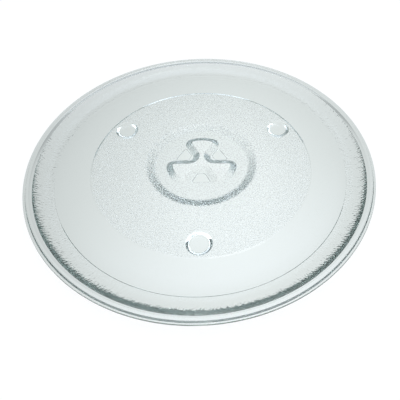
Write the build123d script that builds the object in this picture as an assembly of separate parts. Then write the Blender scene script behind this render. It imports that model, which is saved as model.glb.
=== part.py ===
from build123d import *
import os
from math import cos, radians, sin, tan

# Pressed glass turntable plate of a microwave oven, food side up.
# The origin is under the plate's centre, on the surface that its three feet stand on.

# Driving dimensions, in millimetres and degrees.

plate_diameter = 270.0
floor_thickness = 5.0          # glass between the food surface and the roller track
rim_rise = 5.5                 # lip top above the food surface

# Widths of the rim, each measured inwards from the plate's edge.
dish_width = 30.0              # to where the dished wall runs out in the flat food surface
lip_top_width = 4.4            # to where the dished wall meets the flat of the lip
lip_edge_width = 1.6           # to where the steep bevel under the lip ends
lip_bevel_width = 3.2          # to where the steep bevel under the lip starts
lip_under_width = 5.8          # to where the curved underside meets the flat under the lip
wall_width = 17.0              # to where the underside starts to curve up
rim_width = 19.8               # to the outer edge of the roller track

lip_thickness = 2.8
lip_bevel_slope = 40.0
lip_nose_radius = 1.4          # rounding over the lip's outer edge
lip_nose_flats = 3             # flats that the rounding is pressed in
shelf_slope = 3.0
shelf_step = 0.3               # the shelf between track and wall starts this far above the track
shelf_step_run = 0.35

track_width = 26.7             # smooth ring that the rollers run on
disc_step = 0.4                # the stippled disc is sunk this far above the track
disc_step_run = 1.2

hub_base_diameter = 91.0
hub_face_diameter = 74.0
hub_drop = 3.2                 # hub face below the roller track

socket_depth = 5.2
socket_draft = 25.0
socket_ceiling_bevel = 2.2
lobe_count = 3
lobe_reach = 28.2              # from the plate's axis to a lobe's outer arc
lobe_corner_radius = 5.8
web_tip_radius = 3.2
web_tip_distance = 12.2        # from the plate's axis to the centre of a web's round tip
web_half_angle = 31.0          # slope of a web's sides to its own axis

lug_drop = 0.7                 # lug face below the hub face
lug_draft = 20.0
lug_start = 10.0               # from the plate's axis to a lug's inner end
lug_length = 10.4
lug_inner_width = 5.2
lug_outer_width = 14.4
lug_corner_radius = 2.2

foot_height = 4.2              # feet below the roller track
foot_inset = 12.5              # from the roller track's inner edge to a foot's axis
foot_base_diameter = 19.0
foot_pad_diameter = 14.0
foot_edge_bevel = 0.8

# Radii that follow from the plate's edge inwards.
edge_radius = plate_diameter / 2
track_outer_radius = edge_radius - rim_width
track_inner_radius = track_outer_radius - track_width
foot_circle_radius = track_inner_radius - foot_inset

# Levels above the surface that the feet stand on.
track_z = foot_height
shelf_z = track_z + shelf_step
disc_z = track_z + disc_step
hub_z = track_z - hub_drop
floor_z = track_z + floor_thickness
lip_z = floor_z + rim_rise

# The lobes point along +Y and at equal turns from it. The webs, lugs and feet lie between them.
web_angles = [90.0 + (i + 0.5) * 360.0 / lobe_count for i in range(lobe_count)]


def lip_nose():
    """Corners of the flats over the lip's outer edge, from the edge up to the lip's top."""
    turns = [radians(90.0 * i / lip_nose_flats) for i in range(lip_nose_flats + 1)]
    return [
        (edge_radius - lip_nose_radius * (1 - cos(turn)), lip_z - lip_nose_radius * (1 - sin(turn)))
        for turn in turns
    ]


def plate_section():
    """Half section of the turned form, from the hub's underside out to the lip and back."""
    rise = radians(shelf_slope)
    shelf_start = track_outer_radius + shelf_step_run
    wall_start = edge_radius - wall_width
    under_z = lip_z - lip_thickness
    bevel_end_z = under_z + (lip_bevel_width - lip_edge_width) * tan(radians(lip_bevel_slope))
    with BuildSketch(Plane.XZ) as section:
        with BuildLine():
            underside = Polyline(
                (0, hub_z),
                (hub_face_diameter / 2, hub_z),
                (hub_base_diameter / 2, disc_z),
                (track_inner_radius - disc_step_run, disc_z),
                (track_inner_radius, track_z),
                (track_outer_radius, track_z),
                (shelf_start, shelf_z),
                (wall_start, shelf_z + (wall_start - shelf_start) * tan(rise)),
            )
            lip_root = (edge_radius - lip_under_width, under_z)
            wall = TangentArc(underside @ 1, lip_root, tangent=(cos(rise), sin(rise)))
            lip = Polyline(
                wall @ 1,
                (edge_radius - lip_bevel_width, under_z),
                (edge_radius - lip_edge_width, bevel_end_z),
                *lip_nose(),
                (edge_radius - lip_top_width, lip_z),
            )
            dish = TangentArc((edge_radius - dish_width, floor_z), lip @ 1, tangent=(1, 0))
            Polyline(dish @ 0, (0, floor_z), underside @ 0)
        make_face()
    return section.sketch


def web():
    """Blunt wedge along +X that parts two lobes of the socket, drawn well past the lobes' reach."""
    lean = radians(web_half_angle)
    tip_x = web_tip_distance - web_tip_radius * sin(lean)
    tip_y = web_tip_radius * cos(lean)
    end_x = 2 * lobe_reach
    end_y = tip_y + (end_x - tip_x) * tan(lean)
    wedge = Polygon((tip_x, tip_y), (tip_x, -tip_y), (end_x, -end_y), (end_x, end_y), align=None)
    return wedge + Pos(web_tip_distance, 0) * Circle(web_tip_radius)


def socket_outline():
    """Three lobes left of a disc by the webs, with their outer corners rounded."""
    outline = Circle(lobe_reach)
    for angle in web_angles:
        outline -= Rot(0, 0, angle) * web()
    corners = outline.vertices().group_by(lambda corner: round(Vector(corner.X, corner.Y).length, 3))[-1]
    return fillet(corners, lobe_corner_radius)


def socket():
    """Space of the drive coupler, wider at its mouth in the hub face and bevelled along its ceiling."""
    space = extrude(Pos(0, 0, hub_z) * socket_outline(), socket_depth, taper=socket_draft)
    return chamfer(space.faces().sort_by(Axis.Z)[-1].edges(), socket_ceiling_bevel)


def lug():
    """Pad on a web, drawn along +X and reaching below the hub face."""
    lug_end = lug_start + lug_length
    pad = Polygon(
        (lug_start, -lug_inner_width / 2),
        (lug_end, -lug_outer_width / 2),
        (lug_end, lug_outer_width / 2),
        (lug_start, lug_inner_width / 2),
        align=None,
    )
    pad = fillet(pad.vertices(), lug_corner_radius)
    return extrude(Pos(0, 0, hub_z) * pad, lug_drop, dir=(0, 0, -1), taper=lug_draft)


def foot():
    """Blunt cone on the stippled disc, with a bevel round the face that meets the table."""
    height = foot_height + disc_step
    upright = (Align.CENTER, Align.CENTER, Align.MIN)
    cone = Cone(foot_pad_diameter / 2, foot_base_diameter / 2, height, align=upright)
    return chamfer(cone.edges().sort_by(Axis.Z)[:1], foot_edge_bevel)


def glass_plate():
    plate = revolve(plate_section(), Axis.Z)
    plate -= socket()
    for angle in web_angles:
        plate += Rot(0, 0, angle) * lug()
        plate += Rot(0, 0, angle) * Pos(foot_circle_radius, 0, 0) * foot()
    return plate


os.makedirs("parts", exist_ok=True)
export_step(glass_plate(), "parts/glass_plate.step")
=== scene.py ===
import math

import bmesh
import bpy
from mathutils import Matrix, Vector


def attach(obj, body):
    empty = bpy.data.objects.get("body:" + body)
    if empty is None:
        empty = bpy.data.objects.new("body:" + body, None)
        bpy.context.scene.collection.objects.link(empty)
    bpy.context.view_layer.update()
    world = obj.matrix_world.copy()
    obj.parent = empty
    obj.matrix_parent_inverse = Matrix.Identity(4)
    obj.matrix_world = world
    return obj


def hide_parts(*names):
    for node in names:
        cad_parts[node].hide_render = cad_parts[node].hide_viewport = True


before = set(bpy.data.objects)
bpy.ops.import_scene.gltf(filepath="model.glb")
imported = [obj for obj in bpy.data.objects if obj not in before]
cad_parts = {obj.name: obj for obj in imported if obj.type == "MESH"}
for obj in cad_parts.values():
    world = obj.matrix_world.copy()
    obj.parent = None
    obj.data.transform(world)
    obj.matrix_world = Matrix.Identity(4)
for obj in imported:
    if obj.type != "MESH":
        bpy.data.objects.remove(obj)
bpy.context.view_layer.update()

# Turntable plate: one piece of clear soda-lime glass, pressed hot between a mould and a plunger.
# The plunger leaves the food side smooth and gently dished. The mould leaves the underside's
# roller track, stippled disc, hub with its three-lobed drive socket, lugs and three feet.

MM = 0.001
MERGE_DISTANCE = 0.001 * MM
FULL_TURN = 2 * math.pi
STEPS_AROUND = 256

# Radius of the edge, and levels above the surface that the feet stand on, in millimetres.
edge_radius = 135.0
track_z = 4.2
disc_z = 4.6
hub_z = 1.0
floor_z = 9.2
lip_z = 14.7

plate = bmesh.new()
stipple = plate.faces.layers.float.new("stipple")
flute = plate.faces.layers.float.new("flute")


def line_of(points):
    """Joins section points, given as radius and height in millimetres, by edges in the XZ plane."""
    run = [plate.verts.new((radius * MM, 0.0, height * MM)) for radius, height in points]
    return run, [plate.edges.new(pair) for pair in zip(run, run[1:])]


def round_of(centre, radius, start, end, segments):
    """Section points along an arc, with its angles in degrees from the outward direction."""
    turns = [math.radians(start + (end - start) * i / segments) for i in range(segments + 1)]
    return [(centre[0] + radius * math.cos(t), centre[1] + radius * math.sin(t)) for t in turns]


def bend_from(start, end_radius, slopes, segments):
    """Section points of an arc that bends from one slope to another on its way out to a radius."""
    sines = [math.sin(math.radians(slope)) for slope in slopes]
    curve = (end_radius - start[0]) / (sines[1] - sines[0])
    centre = (start[0] - curve * sines[0], start[1] + curve * math.cos(math.radians(slopes[0])))
    return round_of(centre, curve, slopes[0] - 90, slopes[1] - 90, segments)


def chord_slope(start, end):
    """Slope in degrees of the straight line between two section points."""
    return math.degrees(math.atan2(end[1] - start[1], end[0] - start[0]))


def straight(start, end):
    """Section points of a straight run, with one more near each end so that the run shades flat."""
    near_end = 0.05
    hold = near_end / math.dist(start, end)
    held = [(start[0] + (end[0] - start[0]) * t, start[1] + (end[1] - start[1]) * t)
            for t in (hold, 1 - hold)]
    return [start] + held + [end]


def turned(points, finish=None, amount=1.0):
    """Turns a run of section points about the plate's axis, all the way round."""
    before = set(plate.faces)
    run, edges = line_of(points)
    bmesh.ops.spin(plate, geom=run + edges, cent=(0, 0, 0), axis=(0, 0, 1),
                   angle=FULL_TURN, steps=STEPS_AROUND, use_merge=True)
    for face in set(plate.faces) - before:
        face.smooth = True
        if finish:
            face[finish] = amount


# Track and rim: the smooth ring that the rollers run on, the step at its outer edge, the wall
# that curves up to the lip, the lip with a curved bevel under it, and the dished wall inside.
disc_radius = 87.3
track_inner_radius = 88.5
track_outer_radius = 115.2
step_rise = 0.3
step_run = 0.35
shelf_slope = 3.0
wall_start_radius = 118.0
lip_root_radius = 129.2
lip_thickness = 2.8
bevel_start_radius = 131.8
bevel_end_radius = 133.4
bevel_slopes = 26.0, 46.0
nose_radius = 1.4
lip_inner_radius = 130.6
dish_radius = 105.0

shelf_start = (track_outer_radius + step_run, track_z + step_rise)
shelf_run = wall_start_radius - shelf_start[0]
wall_start = (wall_start_radius, shelf_start[1] + shelf_run * math.tan(math.radians(shelf_slope)))
lip_under_z = lip_z - lip_thickness
wall_slope = 2 * chord_slope(wall_start, (lip_root_radius, lip_under_z)) - shelf_slope
wall = bend_from(wall_start, lip_root_radius, (shelf_slope, wall_slope), segments=40)
bevel = bend_from((bevel_start_radius, lip_under_z), bevel_end_radius, bevel_slopes, segments=12)
nose_centre = (edge_radius - nose_radius, lip_z - nose_radius)
nose = round_of(nose_centre, nose_radius, 0, 90, segments=16)
dish_start = (dish_radius, floor_z)
dish_slope = 2 * chord_slope(dish_start, (lip_inner_radius, lip_z))
dish = bend_from(dish_start, lip_inner_radius, (0.0, dish_slope), segments=40)[::-1]

turned([(disc_radius, disc_z), (track_inner_radius, track_z), (track_outer_radius, track_z),
        shelf_start])
turned(straight(shelf_start, wall[0])[:-1] + wall, finish=flute)
turned(straight(wall[-1], bevel[0])[:-1] + bevel[:-1]
       + straight(bevel[-1], nose[0])[:-1] + nose[:-1]
       + straight(nose[-1], dish[0])[:-1] + dish)

# Hub: a low boss with sloping sides, stippled like the disc around it.
hub_face_radius = 37.0
hub_root_radius = 45.5
hub_round = 4.0
hub_slope = 23.0
hub_wall_stipple = 0.9

hub_edge = round_of((hub_face_radius, hub_z + hub_round), hub_round,
                    -90, hub_slope - 90, segments=6)
hub_foot = round_of((hub_root_radius, disc_z - hub_round), hub_round,
                    90 + hub_slope, 90, segments=6)
turned(hub_edge[:-1] + straight(hub_edge[-1], hub_foot[0]) + hub_foot[1:],
       finish=stipple, amount=hub_wall_stipple)

# Feet: three blunt cones on the stippled disc, each turned about its own axis and left smooth.
foot_circle_radius = 76.0
foot_base_radius = 9.5
foot_pad_radius = 7.0
foot_root_round = 1.0
foot_edge_round = 2.4
foot_angles = [-90.0, 30.0, 150.0]
foot_steps = 64

foot_slope = math.degrees(math.atan2(disc_z, foot_base_radius - foot_pad_radius))
foot_reach = math.tan(math.radians(foot_slope / 2))
root_centre = (foot_base_radius + foot_root_round * foot_reach, disc_z - foot_root_round)
foot_root = round_of(root_centre, foot_root_round, 90, 90 + foot_slope, segments=6)
edge_centre = (foot_pad_radius - foot_edge_round * foot_reach, foot_edge_round)
foot_edge = round_of(edge_centre, foot_edge_round, foot_slope - 90, -90, segments=8)
foot_line = [(foot_circle_radius + radius, height) for radius, height in
             foot_root[:-1] + straight(foot_root[-1], foot_edge[0]) + foot_edge[1:]]
for angle in foot_angles:
    before = set(plate.verts)
    run, edges = line_of(foot_line)
    bmesh.ops.spin(plate, geom=run + edges, cent=(foot_circle_radius * MM, 0, 0), axis=(0, 0, 1),
                   angle=FULL_TURN, steps=foot_steps, use_merge=True)
    made = [v for v in plate.verts if v not in before]
    for face in {f for v in made for f in v.link_faces}:
        face.smooth = True
    bmesh.ops.rotate(plate, verts=made, cent=(0, 0, 0),
                     matrix=Matrix.Rotation(math.radians(angle), 3, "Z"))

# Drive socket: three lobes between three webs, which point at the feet. It is drawn on the hub
# face as one outline of arcs and lines, and pressed in once the underside is one skin.
lobe_reach = 29.0
lobe_corner = 6.6
web_tip_centre = 12.2
web_tip_radius = 3.4
web_half_angle = 31.0
web_spacing = 120.0
socket_depth = 5.2
socket_mouth_round = 0.5
socket_ceiling_round = 1.5
socket_draft = 46.0
socket_stipple = 0.35


def arc_from(vert, centre, degrees, steps):
    """Sweeps a vertex round an upright axis and gives back the last vertex of the arc."""
    made = bmesh.ops.spin(plate, geom=[vert], cent=(centre[0] * MM, centre[1] * MM, 0),
                          axis=(0, 0, 1), angle=math.radians(degrees), steps=steps)
    return made["geom_last"][0]


def line_from(vert, point):
    """Draws a straight edge on the hub face from a vertex to a point."""
    end = plate.verts.new((point[0] * MM, point[1] * MM, hub_z * MM))
    plate.edges.new((vert, end))
    return end


lean_out = math.radians(web_half_angle)
flank_way = Vector((math.cos(lean_out), math.sin(lean_out)))
flank_side = Vector((-math.sin(lean_out), math.cos(lean_out)))
tip_centre = Vector((web_tip_centre, 0))
flank_start = tip_centre + flank_side * web_tip_radius
inside = flank_start + flank_side * lobe_corner
back = inside.dot(flank_way)
corner_reach = lobe_reach - lobe_corner
flank_length = math.sqrt(back ** 2 - inside.length_squared + corner_reach ** 2) - back
corner_centre = inside + flank_way * flank_length
flank_end = flank_start + flank_way * flank_length
corner_angle = math.degrees(math.atan2(corner_centre.y, corner_centre.x))
tip_sweep = web_half_angle - 90.0
corner_sweep = 90.0 - web_half_angle + corner_angle
lobe_sweep = web_spacing - 2 * corner_angle
mirrored_web = Matrix(((1, 0), (0, -1)))

edges_before = set(plate.edges)
vert = plate.verts.new((0, -(web_tip_centre - web_tip_radius) * MM, hub_z * MM))
for web_angle in foot_angles:
    turn = Matrix.Rotation(math.radians(web_angle), 2)
    ahead = Matrix.Rotation(math.radians(web_angle + web_spacing), 2) @ mirrored_web
    vert = arc_from(vert, turn @ tip_centre, tip_sweep, steps=10)
    vert = line_from(vert, turn @ flank_end)
    vert = arc_from(vert, turn @ corner_centre, corner_sweep, steps=12)
    vert = arc_from(vert, (0, 0), lobe_sweep, steps=16)
    vert = arc_from(vert, ahead @ corner_centre, corner_sweep, steps=12)
    vert = line_from(vert, ahead @ flank_start)
    vert = arc_from(vert, ahead @ tip_centre, tip_sweep, steps=10)
outline = [e for e in plate.edges if e not in edges_before]
outline_verts = list(dict.fromkeys(v for e in outline for v in e.verts))
bmesh.ops.remove_doubles(plate, verts=outline_verts, dist=MERGE_DISTANCE)
outline = [e for e in plate.edges if e not in edges_before]
socket_face = bmesh.ops.contextual_create(plate, geom=outline)["faces"][0]

# Lugs: a flat pad on each web, which the coupler's arms pass between.
lug_inner, lug_outer = 11.0, 20.4
lug_inner_half, lug_outer_half = 3.0, 7.8
lug_corner = 2.0
lug_corner_segments = 6
lug_drop = 0.7
lug_root_round = 0.1
lug_edge_round = 0.2
lug_draft = 22.0

lug_corners = [(lug_inner, -lug_inner_half), (lug_outer, -lug_outer_half),
               (lug_outer, lug_outer_half), (lug_inner, lug_inner_half)]
lug_faces = []
for angle in foot_angles:
    turn = Matrix.Rotation(math.radians(angle), 3, "Z")
    places = [turn @ Vector((x * MM, y * MM, hub_z * MM)) for x, y in lug_corners]
    pad = plate.faces.new([plate.verts.new(place) for place in places])
    bmesh.ops.bevel(plate, geom=list(pad.verts), offset=lug_corner * MM, offset_type="OFFSET",
                    affect="VERTICES", segments=lug_corner_segments, profile=0.5, material=-1)
    lug_faces += [f for f in plate.faces if len(f.verts) > 4 * lug_corner_segments
                  and f is not socket_face and f not in lug_faces]

# The rings and outlines join into one skin, and the flat stretches between them are filled.
disc_stipple = 0.45
hub_face_stipple = 0.36
feet_z = 0.0

bmesh.ops.remove_doubles(plate, verts=plate.verts, dist=MERGE_DISTANCE)


def open_edges(height):
    """Edges at one height that have a face on one side only."""
    return [e for e in plate.edges if e.is_boundary
            and all(abs(v.co.z - height * MM) < MERGE_DISTANCE for v in e.verts)]


for height, amount in ((disc_z, disc_stipple), (hub_z, hub_face_stipple)):
    for face in bmesh.ops.triangle_fill(plate, use_beauty=True, edges=open_edges(height))["geom"]:
        if isinstance(face, bmesh.types.BMFace):
            face[stipple] = amount
for height in (floor_z, feet_z):
    bmesh.ops.holes_fill(plate, edges=open_edges(height), sides=0)
bmesh.ops.recalc_face_normals(plate, faces=plate.faces)


def pressed(face, height, first_round, last_round, draft, into, amount):
    """Presses a flat outline into the glass, or draws it out, with its wall's edges rounded."""
    lean = math.radians(draft)
    side = (height - (first_round + last_round) * (1 - math.sin(lean))) / math.cos(lean)
    line = round_of((0, first_round), first_round, -90, -draft, segments=8)
    side_end = line[-1][0] + side * math.sin(lean)
    last_centre = (side_end + last_round * math.cos(lean), height - last_round)
    line += round_of(last_centre, last_round, 180 - draft, 90, segments=16)
    for here, there in zip(line, line[1:]):
        depth = (there[1] - here[1]) * MM
        strips = bmesh.ops.inset_region(plate, faces=[face], thickness=(there[0] - here[0]) * MM,
                                        depth=-depth if into else depth,
                                        use_even_offset=True, use_boundary=True)["faces"]
        for strip in strips:
            strip.smooth = True
            strip[stipple] = amount
    face[stipple] = amount


pressed(socket_face, socket_depth, socket_mouth_round, socket_ceiling_round, socket_draft,
        into=True, amount=socket_stipple)
for pad in lug_faces:
    pressed(pad, lug_drop, lug_root_round, lug_edge_round, lug_draft, into=False, amount=0.0)

sharp_from = math.radians(14)
for edge in plate.edges:
    edge.smooth = edge.calc_face_angle(0.0) < sharp_from
plate_mesh = bpy.data.meshes.new("turntable_plate")
plate.to_mesh(plate_mesh)
plate.free()
turntable_plate = bpy.data.objects.new("turntable_plate", plate_mesh)
bpy.context.scene.collection.objects.link(turntable_plate)

# Pressed soda-lime glass, fire polished: clear, with a faint grey-green cast that deepens along
# the sheet. The mould's stipple scatters light like a thin frost over the disc and the hub.
pebble_spacing = 1.2 * MM
pebble_relief = 0.5 * MM
crown_start, crown_full = 0.42, 0.62
crown_frost = 0.6
flute_spacing = 1.1
flute_length = 2.4 * MM
flute_relief = 0.34 * MM
body_density = 20.0


def linear(hex_colour):
    """Turns an sRGB hex colour into linear RGBA."""
    parts = [int(hex_colour[i:i + 2], 16) / 255 for i in (1, 3, 5)]
    return [c / 12.92 if c <= 0.04045 else ((c + 0.055) / 1.055) ** 2.4 for c in parts] + [1.0]


def node(tree, kind, links=None, inputs=None, **settings):
    """Adds a node with its settings, its input values and its incoming links."""
    made = tree.nodes.new(kind)
    for name, value in settings.items():
        setattr(made, name, value)
    for name, value in (inputs or {}).items():
        made.inputs[name].default_value = value
    for name, socket in (links or {}).items():
        tree.links.new(socket, made.inputs[name])
    return made


glass = bpy.data.materials.new("pressed_soda_lime_glass")
glass.use_nodes = True
tree = glass.node_tree
tree.nodes.clear()
where = node(tree, "ShaderNodeTexCoord").outputs["Object"]

# The stipple is a field of low pebbles, drawn about 1.2 mm apart, as coarse as they need to show.
# Their crowns are frosted and let less light through.
stippled = node(tree, "ShaderNodeAttribute", attribute_name="stipple").outputs["Fac"]
pebbles = node(tree, "ShaderNodeTexNoise", {"Vector": where},
               {"Scale": 1 / pebble_spacing, "Detail": 1.0})
pebble_height = node(tree, "ShaderNodeMath", {0: pebbles.outputs["Fac"], 1: stippled},
                     operation="MULTIPLY")
crown = node(tree, "ShaderNodeMapRange", {"Value": pebbles.outputs["Fac"]},
             {"From Min": crown_start, "From Max": crown_full,
              "To Min": 0.0, "To Max": crown_frost})
frost = node(tree, "ShaderNodeMath", {0: crown.outputs[0], 1: stippled}, operation="MULTIPLY")
clear = node(tree, "ShaderNodeMath", {1: frost.outputs[0]}, {0: 1.0}, operation="SUBTRACT")
pebble_bump = node(tree, "ShaderNodeBump", {"Height": pebble_height.outputs[0]},
                   {"Strength": 1.0, "Distance": pebble_relief})

# Fine flutes run outwards over the rim's underside, where the hot glass slid along the mould.
# They are about 1.1 mm apart at the edge, and drawn coarser than real ones so that they show.
fluted = node(tree, "ShaderNodeAttribute", attribute_name="flute").outputs["Fac"]
flat = node(tree, "ShaderNodeVectorMath", {0: where}, {1: (1, 1, 0)},
            operation="MULTIPLY").outputs[0]
outward = node(tree, "ShaderNodeVectorMath", {0: flat}, operation="NORMALIZE").outputs[0]
around = node(tree, "ShaderNodeVectorMath", {0: outward}, {"Scale": edge_radius / flute_spacing},
              operation="SCALE")
distance = node(tree, "ShaderNodeVectorMath", {0: flat}, operation="LENGTH")
along = node(tree, "ShaderNodeMath", {0: distance.outputs["Value"]}, {1: 1 / flute_length},
             operation="MULTIPLY")
lift = node(tree, "ShaderNodeCombineXYZ", {"Z": along.outputs[0]})
flute_place = node(tree, "ShaderNodeVectorMath", {0: around.outputs[0], 1: lift.outputs[0]},
                   operation="ADD")
flutes = node(tree, "ShaderNodeTexNoise", {"Vector": flute_place.outputs[0]},
              {"Scale": 1.0, "Detail": 1.0})
flute_height = node(tree, "ShaderNodeMath", {0: flutes.outputs["Fac"], 1: fluted},
                    operation="MULTIPLY")
flute_bump = node(tree, "ShaderNodeBump",
                  {"Height": flute_height.outputs[0], "Normal": pebble_bump.outputs[0]},
                  {"Strength": 1.0, "Distance": flute_relief})

shader = node(tree, "ShaderNodeBsdfPrincipled",
              {"Normal": flute_bump.outputs[0], "Transmission Weight": clear.outputs[0]},
              {"Base Color": linear("#FCFEFD"), "Roughness": 0.02, "IOR": 1.51})
body = node(tree, "ShaderNodeVolumeAbsorption",
            inputs={"Color": linear("#CBD3D0"), "Density": body_density})
node(tree, "ShaderNodeOutputMaterial",
     {"Surface": shader.outputs[0], "Volume": body.outputs[0]})
plate_mesh.materials.append(glass)

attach(turntable_plate, "root")
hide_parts("glass_plate")

# Floor: a seamless sheet of matt white paper under soft light, which shows white round the plate.
# Through the glass its glow carries a painted pool of light, brightest round the hub, and a painted
# shadow that dims it past the rim.
sheet_radius = 3.0
sheet_z = -0.2 * MM
# Painted pool of light: where the paper's glow, seen through the glass, is brightest and how far
# out it dims.
painted_pool_stretch = (1, 0.68, 0)
painted_pool_centre = (0.02, -0.015, 0)
painted_pool_start, painted_pool_end = 0.03, 0.145
painted_pool_bright, painted_pool_dim = 1.02, 0.72
# Painted shadow of the plate: the glow seen through the glass drops past the rim, most on the near
# side.
rim_shadow_centre = (0, 0.02, 0)
rim_shadow_start, rim_shadow_end = 0.146, 0.158
painted_rim_shadow_level = 0.58
camera_glow = 0.85

sheet = bmesh.new()
bmesh.ops.create_circle(sheet, cap_ends=True, segments=64, radius=sheet_radius,
                        matrix=Matrix.Translation((0, 0, sheet_z)))
sheet_mesh = bpy.data.meshes.new("table")
sheet.to_mesh(sheet_mesh)
sheet.free()
table = bpy.data.objects.new("table", sheet_mesh)
bpy.context.scene.collection.objects.link(table)

paper = bpy.data.materials.new("white_paper")
paper.use_nodes = True
tree = paper.node_tree
tree.nodes.clear()
where = node(tree, "ShaderNodeTexCoord").outputs["Object"]
rays = node(tree, "ShaderNodeLightPath")
# Painted pool of light on the paper, seen through the glass: its glow is brightest round the hub
# and dims outwards.
painted_pool_place = node(tree, "ShaderNodeVectorMath", {0: where}, {1: painted_pool_stretch},
                  operation="MULTIPLY")
painted_pool_away = node(tree, "ShaderNodeVectorMath", {0: painted_pool_place.outputs[0]}, {1: painted_pool_centre},
                 operation="DISTANCE")
painted_pool_glow = node(tree, "ShaderNodeMapRange", {"Value": painted_pool_away.outputs["Value"]},
            {"From Min": painted_pool_start, "From Max": painted_pool_end,
             "To Min": painted_pool_bright, "To Max": painted_pool_dim})
# Painted shadow past the rim, centred a little to the far side so that it falls deepest on the near
# side.
rim_shadow_away = node(tree, "ShaderNodeVectorMath", {0: where}, {1: rim_shadow_centre}, operation="DISTANCE")
painted_rim_shadow = node(tree, "ShaderNodeMapRange", {"Value": rim_shadow_away.outputs["Value"]},
                {"From Min": rim_shadow_start, "From Max": rim_shadow_end,
                 "To Min": 1.0, "To Max": painted_rim_shadow_level}, interpolation_type="SMOOTHSTEP")
# The painted pool of light and the painted shadow together set the glow seen through the glass.
painted_pool_and_shadow = node(tree, "ShaderNodeMath", {0: painted_pool_glow.outputs[0], 1: painted_rim_shadow.outputs[0]},
            operation="MULTIPLY")
level = node(tree, "ShaderNodeMix",
             {"Factor": rays.outputs["Is Camera Ray"], "A": painted_pool_and_shadow.outputs[0]}, {"B": 1.0})
tone = node(tree, "ShaderNodeMix", {0: rays.outputs["Is Camera Ray"]},
            {6: linear("#F3F8F8"), 7: linear("#FFFFFF")}, data_type="RGBA")
matt = node(tree, "ShaderNodeBsdfDiffuse", inputs={"Color": linear("#F6F6F6")})
glow = node(tree, "ShaderNodeEmission",
            {"Color": tone.outputs[2], "Strength": level.outputs[0]})
through_glass = node(tree, "ShaderNodeMath",
                     {0: rays.outputs["Is Transmission Ray"], 1: rays.outputs["Is Glossy Ray"]},
                     operation="MAXIMUM")
share = node(tree, "ShaderNodeMath",
             {0: rays.outputs["Is Camera Ray"], 2: through_glass.outputs[0]}, {1: camera_glow},
             operation="MULTIPLY_ADD")
mixed = node(tree, "ShaderNodeMixShader",
             {0: share.outputs[0], 1: matt.outputs[0], 2: glow.outputs[0]})
node(tree, "ShaderNodeOutputMaterial", {"Surface": mixed.outputs[0]})
sheet_mesh.materials.append(paper)

# Studio: pale grey walls under a broad overhead softbox, and one soft lamp on the near right.
softbox_way = Vector((0.15, -0.15, 1)).normalized()
softbox_edge, softbox_full = 0.58, 0.95

scene = bpy.context.scene
scene.view_settings.view_transform = "Standard"
world = bpy.data.worlds.new("studio")
scene.world = world
world.use_nodes = True
tree = world.node_tree
tree.nodes.clear()
way = node(tree, "ShaderNodeTexCoord").outputs["Generated"]
overhead = node(tree, "ShaderNodeVectorMath", {0: way}, {1: softbox_way},
                operation="DOT_PRODUCT")
lit = node(tree, "ShaderNodeMapRange", {"Value": overhead.outputs["Value"]},
           {"From Min": softbox_edge, "From Max": softbox_full}, interpolation_type="SMOOTHSTEP")
walls = node(tree, "ShaderNodeBackground",
             inputs={"Color": linear("#B4BCBD"), "Strength": 1.1})
softbox = node(tree, "ShaderNodeBackground",
               inputs={"Color": linear("#E4ECFA"), "Strength": 2.4})
studio = node(tree, "ShaderNodeMixShader",
              {0: lit.outputs[0], 1: walls.outputs[0], 2: softbox.outputs[0]})
node(tree, "ShaderNodeOutputWorld", {"Surface": studio.outputs[0]})

lamp = bpy.data.lights.new("soft_lamp", "AREA")
lamp.shape = "DISK"
lamp.size = 1.2
lamp.energy = 5.0
soft_lamp = bpy.data.objects.new("soft_lamp", lamp)
soft_lamp.location = (0.5, -0.9, 0.9)
soft_lamp.rotation_euler = (-soft_lamp.location).to_track_quat("-Z", "Y").to_euler()
scene.collection.objects.link(soft_lamp)

# Camera: close above the plate's near edge, looking down at it, as in the photograph.
lens = bpy.data.cameras.new("camera")
lens.sensor_width = 36.0
lens.lens = 32.84
lens.shift_x = -0.0617
camera = bpy.data.objects.new("camera", lens)
camera.location = (0.01579, -0.20359, 0.22410)
aim = Vector((0.01811, -0.04155, 0.0092)) - camera.location
camera.rotation_euler = aim.to_track_quat("-Z", "Y").to_euler()
scene.collection.objects.link(camera)
scene.camera = camera

# Light turns many times inside the glass before it leaves, so its paths are kept long.
scene.cycles.max_bounces = 32
scene.cycles.transmission_bounces = 32
scene.cycles.glossy_bounces = 32
